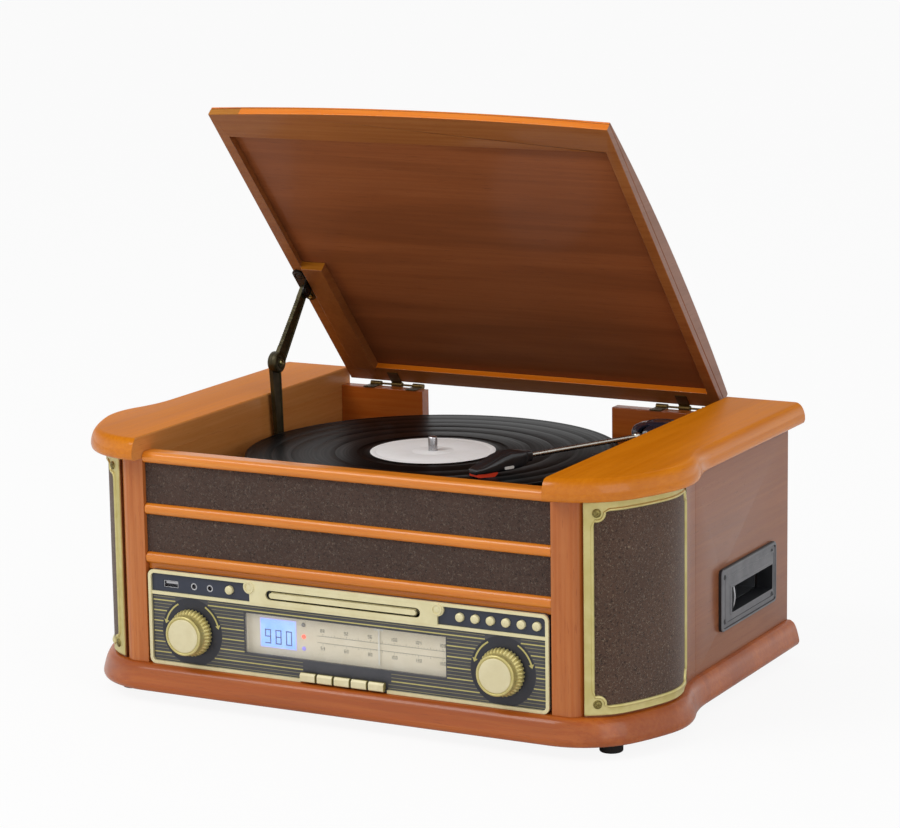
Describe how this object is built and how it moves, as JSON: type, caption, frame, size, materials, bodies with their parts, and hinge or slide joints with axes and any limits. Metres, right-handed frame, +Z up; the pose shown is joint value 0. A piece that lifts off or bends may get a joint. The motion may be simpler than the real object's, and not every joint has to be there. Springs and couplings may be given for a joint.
{
  "type": "stereo music centre",
  "caption": "Wooden table-top music centre with record deck under a propped lid, disc tray, cassette slot, dial radio and bowed side loudspeakers.",
  "frame": {"origin": "centre of the footprint of the whole product with its lid open, on the plane the feet stand on", "axes": "+X to the right seen from the front, +Y from the front to the back, +Z up"},
  "size_m": [0.513, 0.355, 0.463],
  "materials": {
    "case_wood": "orange-brown gloss lacquer over oak figure",
    "side_wood": "satin lacquer, lengthwise grain",
    "lid_wood": "satin lacquer, darker inside",
    "back_board": "dark painted hardboard",
    "cloth": "brown speckled loudspeaker cloth",
    "gilt": "pale gold satin paint",
    "screw_brass": "brushed",
    "rubber_black": "matt",
    "speaker_black": "paper cone and black basket",
    "panel_grey": "dark grey with gold stripes",
    "window_clear": "clear",
    "scale_cream": "cream with printed scale lines",
    "display_blue": "back-lit blue",
    "pointer_white": "white",
    "socket_metal": "bright",
    "chassis_steel": "zinc plated",
    "deck_black": "fine-grained black",
    "platter_metal": "dark coated",
    "vinyl": "grooved black vinyl with a plain pale label",
    "pulley_brass": "turned",
    "arm_metal": "satin champagne",
    "tip_red": "red-orange",
    "hinge_brass": "satin",
    "stay_bronze": "olive bronze",
    "board_green": "solder mask"
  },
  "bodies": {
    "cabinet": {"plinth": "case_wood", "feet": "rubber_black", "side_boards": "side_wood", "speaker_pods": "side_wood", "front_frame": "case_wood", "caps": "case_wood", "back_panel": "back_board", "hinge_blocks": "case_wood", "cloth_strips": "cloth", "grille_cloths": "cloth", "grille_frames": "gilt", "grille_screws": "screw_brass", "speakers": "speaker_black", "panel_plate": "panel_grey", "panel_trim": "gilt", "dial_window": "window_clear", "dial_scale": "scale_cream", "lcd_display": "display_blue", "sockets": "socket_metal", "cd_deck": "chassis_steel", "deck_plate": "deck_black", "drive_motor": "chassis_steel", "drive_belt": "rubber_black", "hinge_case_leaves": "hinge_brass", "stay_wall_bracket": "stay_bronze", "cassette_bezel": "deck_black", "cassette_deck": "chassis_steel", "main_board": "board_green"},
    "lid": {"lid_panel": "lid_wood", "lid_frame": "lid_wood", "hinge_lid_leaves": "hinge_brass", "stay_lid_bracket": "stay_bronze"},
    "stay_lower": {"stay_lower_arm": "stay_bronze"},
    "stay_upper": {"stay_upper_arm": "stay_bronze"},
    "turntable": {"platter": "platter_metal", "platter_mat": "rubber_black", "record": "vinyl"},
    "pulley": {"motor_pulley": "pulley_brass"},
    "arm_base": {"tonearm_turret": "deck_black"},
    "arm": {"tonearm": "arm_metal", "headshell": "deck_black", "cartridge": "tip_red"},
    "volume": {"volume_knob": "gilt"},
    "tuning": {"tuning_knob": "gilt"},
    "pointer": {"dial_pointer": "pointer_white"},
    "key_1": {"source_key_1": "gilt"},
    "key_2": {"source_key_2": "gilt"},
    "key_3": {"source_key_3": "gilt"},
    "key_4": {"source_key_4": "gilt"},
    "key_5": {"source_key_5": "gilt"},
    "button_record": {"record_button": "gilt"},
    "button_cd_1": {"cd_button_1": "gilt"},
    "button_cd_2": {"cd_button_2": "gilt"},
    "button_cd_3": {"cd_button_3": "gilt"},
    "button_cd_4": {"cd_button_4": "gilt"},
    "button_cd_5": {"cd_button_5": "gilt"},
    "button_cd_6": {"cd_button_6": "gilt"},
    "tray": {"cd_tray": "gilt"},
    "eject": {"eject_lever": "socket_metal"},
    "speed": {"speed_switch": "deck_black"}
  },
  "joints": [
    {"name": "lid_hinge", "type": "hinge", "parent": "cabinet", "child": "lid", "pos_m": [0, 0.16701, 0.20075], "axis": [-1, 0, 0], "range_deg": [-48.4, 0]},
    {"name": "stay_lower_pivot", "type": "hinge", "parent": "cabinet", "child": "stay_lower", "pos_m": [-0.168, 0.03701, 0.169], "axis": [-1, 0, 0], "range_deg": [-72, 0.2]},
    {"name": "stay_upper_pivot", "type": "hinge", "parent": "lid", "child": "stay_upper", "pos_m": [-0.168, 0.07603, 0.29381], "axis": [-1, 0, 0], "range_deg": [-0.2, 92.65]},
    {"name": "platter_spin", "type": "hinge", "parent": "cabinet", "child": "turntable", "pos_m": [-0.0093, 0.00541, 0.163], "axis": [0, 0, -1], "continuous": true},
    {"name": "pulley_spin", "type": "hinge", "parent": "cabinet", "child": "pulley", "pos_m": [-0.12018, -0.03495, 0.163], "axis": [0, 0, -1], "continuous": true},
    {"name": "arm_swing", "type": "hinge", "parent": "cabinet", "child": "arm_base", "pos_m": [0.15, 0.09901, 0.163], "axis": [0, 0, -1], "range_deg": [-20.5, 17]},
    {"name": "arm_lift", "type": "hinge", "parent": "arm_base", "child": "arm", "pos_m": [0.15, 0.09901, 0.194], "axis": [-0.9063, 0.4226, 0], "range_deg": [0, 12]},
    {"name": "volume_turn", "type": "hinge", "parent": "cabinet", "child": "volume", "pos_m": [-0.136, -0.16149, 0.0596], "axis": [0, 1, 0], "range_deg": [-135, 135]},
    {"name": "tuning_turn", "type": "hinge", "parent": "cabinet", "child": "tuning", "pos_m": [0.136, -0.16149, 0.0596], "axis": [0, 1, 0], "range_deg": [-320, 270]},
    {"name": "pointer_travel", "type": "slide", "parent": "cabinet", "child": "pointer", "axis": [1, 0, 0], "range_m": [-0.0562, 0.0476]},
    {"name": "key_1_press", "type": "slide", "parent": "cabinet", "child": "key_1", "axis": [0, 1, 0], "range_m": [0, 0.002], "stiffness_N_per_m": 400, "springref_m": -0.002},
    {"name": "key_2_press", "type": "slide", "parent": "cabinet", "child": "key_2", "axis": [0, 1, 0], "range_m": [0, 0.002], "stiffness_N_per_m": 400, "springref_m": -0.002},
    {"name": "key_3_press", "type": "slide", "parent": "cabinet", "child": "key_3", "axis": [0, 1, 0], "range_m": [0, 0.002], "stiffness_N_per_m": 400, "springref_m": -0.002},
    {"name": "key_4_press", "type": "slide", "parent": "cabinet", "child": "key_4", "axis": [0, 1, 0], "range_m": [0, 0.002], "stiffness_N_per_m": 400, "springref_m": -0.002},
    {"name": "key_5_press", "type": "slide", "parent": "cabinet", "child": "key_5", "axis": [0, 1, 0], "range_m": [0, 0.002], "stiffness_N_per_m": 400, "springref_m": -0.002},
    {"name": "record_press", "type": "slide", "parent": "cabinet", "child": "button_record", "axis": [0, 1, 0], "range_m": [0, 0.001], "stiffness_N_per_m": 400, "springref_m": -0.002},
    {"name": "cd_1_press", "type": "slide", "parent": "cabinet", "child": "button_cd_1", "axis": [0, 1, 0], "range_m": [0, 0.001], "stiffness_N_per_m": 400, "springref_m": -0.002},
    {"name": "cd_2_press", "type": "slide", "parent": "cabinet", "child": "button_cd_2", "axis": [0, 1, 0], "range_m": [0, 0.001], "stiffness_N_per_m": 400, "springref_m": -0.002},
    {"name": "cd_3_press", "type": "slide", "parent": "cabinet", "child": "button_cd_3", "axis": [0, 1, 0], "range_m": [0, 0.001], "stiffness_N_per_m": 400, "springref_m": -0.002},
    {"name": "cd_4_press", "type": "slide", "parent": "cabinet", "child": "button_cd_4", "axis": [0, 1, 0], "range_m": [0, 0.001], "stiffness_N_per_m": 400, "springref_m": -0.002},
    {"name": "cd_5_press", "type": "slide", "parent": "cabinet", "child": "button_cd_5", "axis": [0, 1, 0], "range_m": [0, 0.001], "stiffness_N_per_m": 400, "springref_m": -0.002},
    {"name": "cd_6_press", "type": "slide", "parent": "cabinet", "child": "button_cd_6", "axis": [0, 1, 0], "range_m": [0, 0.001], "stiffness_N_per_m": 400, "springref_m": -0.002},
    {"name": "tray_slide", "type": "slide", "parent": "cabinet", "child": "tray", "axis": [0, -1, 0], "range_m": [0, 0.12]},
    {"name": "eject_press", "type": "slide", "parent": "cabinet", "child": "eject", "axis": [-1, 0, 0], "range_m": [0, 0.005], "stiffness_N_per_m": 300, "springref_m": -0.003},
    {"name": "speed_slide", "type": "slide", "parent": "cabinet", "child": "speed", "axis": [0, 1, 0], "range_m": [-0.005, 0.005]}
  ],
  "couplings": [
    {"joint": "stay_lower_pivot", "follows": "lid_hinge", "ratio": 1.4834},
    {"joint": "stay_upper_pivot", "follows": "lid_hinge", "ratio": -1.9101},
    {"joint": "pulley_spin", "follows": "platter_spin", "ratio": 12},
    {"joint": "pointer_travel", "follows": "tuning_turn", "m_per_rad": 0.01}
  ]
}
